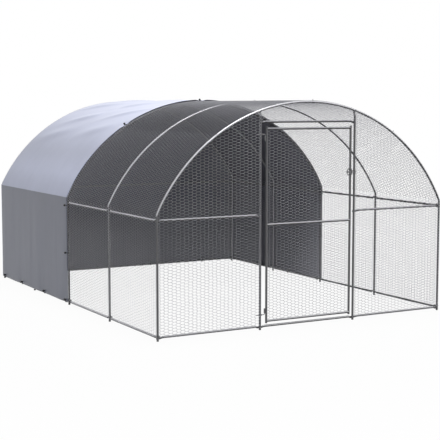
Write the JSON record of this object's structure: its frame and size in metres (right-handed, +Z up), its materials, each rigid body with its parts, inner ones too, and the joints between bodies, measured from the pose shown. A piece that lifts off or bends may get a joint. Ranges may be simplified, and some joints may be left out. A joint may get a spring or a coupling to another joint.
{
  "type": "outdoor chicken cage",
  "caption": "Walk-in poultry run: bolted steel tube frame with arched hoops, wire netting, a swinging netted door with a slide latch, and a tied sheet cover over the rear half.",
  "frame": {"origin": "on the ground under the middle of the run", "axes": "+X across the front to the right seen from outside the door, +Y from the door to the back, +Z up"},
  "size_m": [3.0564, 4.0473, 2.0281],
  "materials": {
    "galvanised_tube": "galvanised",
    "zinc_hardware": "zinc plated",
    "galvanised_netting": "galvanised wire",
    "cover_cloth": "coated woven sheet",
    "elastic_tie": "matt black"
  },
  "bodies": {
    "frame": {"left_post_1": "galvanised_tube", "left_post_2": "galvanised_tube", "left_post_3": "galvanised_tube", "left_post_4": "galvanised_tube", "left_post_5": "galvanised_tube", "right_post_1": "galvanised_tube", "right_post_2": "galvanised_tube", "right_post_3": "galvanised_tube", "right_post_4": "galvanised_tube", "right_post_5": "galvanised_tube", "hoop_1_lower_arcs": "galvanised_tube", "hoop_2_lower_arcs": "galvanised_tube", "hoop_3_lower_arcs": "galvanised_tube", "hoop_4_lower_arcs": "galvanised_tube", "hoop_5_lower_arcs": "galvanised_tube", "hoop_1_upper_arcs": "galvanised_tube", "hoop_2_upper_arcs": "galvanised_tube", "hoop_3_upper_arcs": "galvanised_tube", "hoop_4_upper_arcs": "galvanised_tube", "hoop_5_upper_arcs": "galvanised_tube", "left_base_rails": "galvanised_tube", "right_base_rails": "galvanised_tube", "left_eave_rails": "galvanised_tube", "right_eave_rails": "galvanised_tube", "back_base_rails": "galvanised_tube", "back_eave_rails": "galvanised_tube", "front_base_rails": "galvanised_tube", "front_eave_rails": "galvanised_tube", "door_header": "galvanised_tube", "hinge_post": "galvanised_tube", "latch_post": "galvanised_tube", "upper_hinge_hook": "zinc_hardware", "lower_hinge_hook": "zinc_hardware", "latch_keeper": "zinc_hardware", "frame_bolts": "zinc_hardware", "frame_nuts": "zinc_hardware", "left_wall_net": "galvanised_netting", "right_wall_net": "galvanised_netting", "roof_net_left_low": "galvanised_netting", "roof_net_left_high": "galvanised_netting", "roof_net_right_high": "galvanised_netting", "roof_net_right_low": "galvanised_netting", "front_left_net": "galvanised_netting", "front_right_net": "galvanised_netting", "over_door_net": "galvanised_netting", "back_net": "galvanised_netting", "cover_canopy": "cover_cloth", "cover_back_panel": "cover_cloth", "cover_ties": "elastic_tie"},
    "door": {"door_hinge_stile": "galvanised_tube", "door_latch_stile": "galvanised_tube", "door_top_rail": "galvanised_tube", "door_middle_rail": "galvanised_tube", "door_bottom_rail": "galvanised_tube", "upper_hinge_eye": "zinc_hardware", "lower_hinge_eye": "zinc_hardware", "latch_plate": "zinc_hardware", "latch_plate_bolts": "zinc_hardware", "door_net": "galvanised_netting"},
    "slide_bar": {"latch_bar": "zinc_hardware"}
  },
  "joints": [
    {"name": "door_hinge", "type": "hinge", "parent": "frame", "child": "door", "pos_m": [-0.4505, -1.99, 0.9], "axis": [0, 0, -1], "range_deg": [0, 120]},
    {"name": "latch_slide", "type": "slide", "parent": "door", "child": "slide_bar", "axis": [1, 0, 0], "range_m": [0, 0.018]}
  ]
}
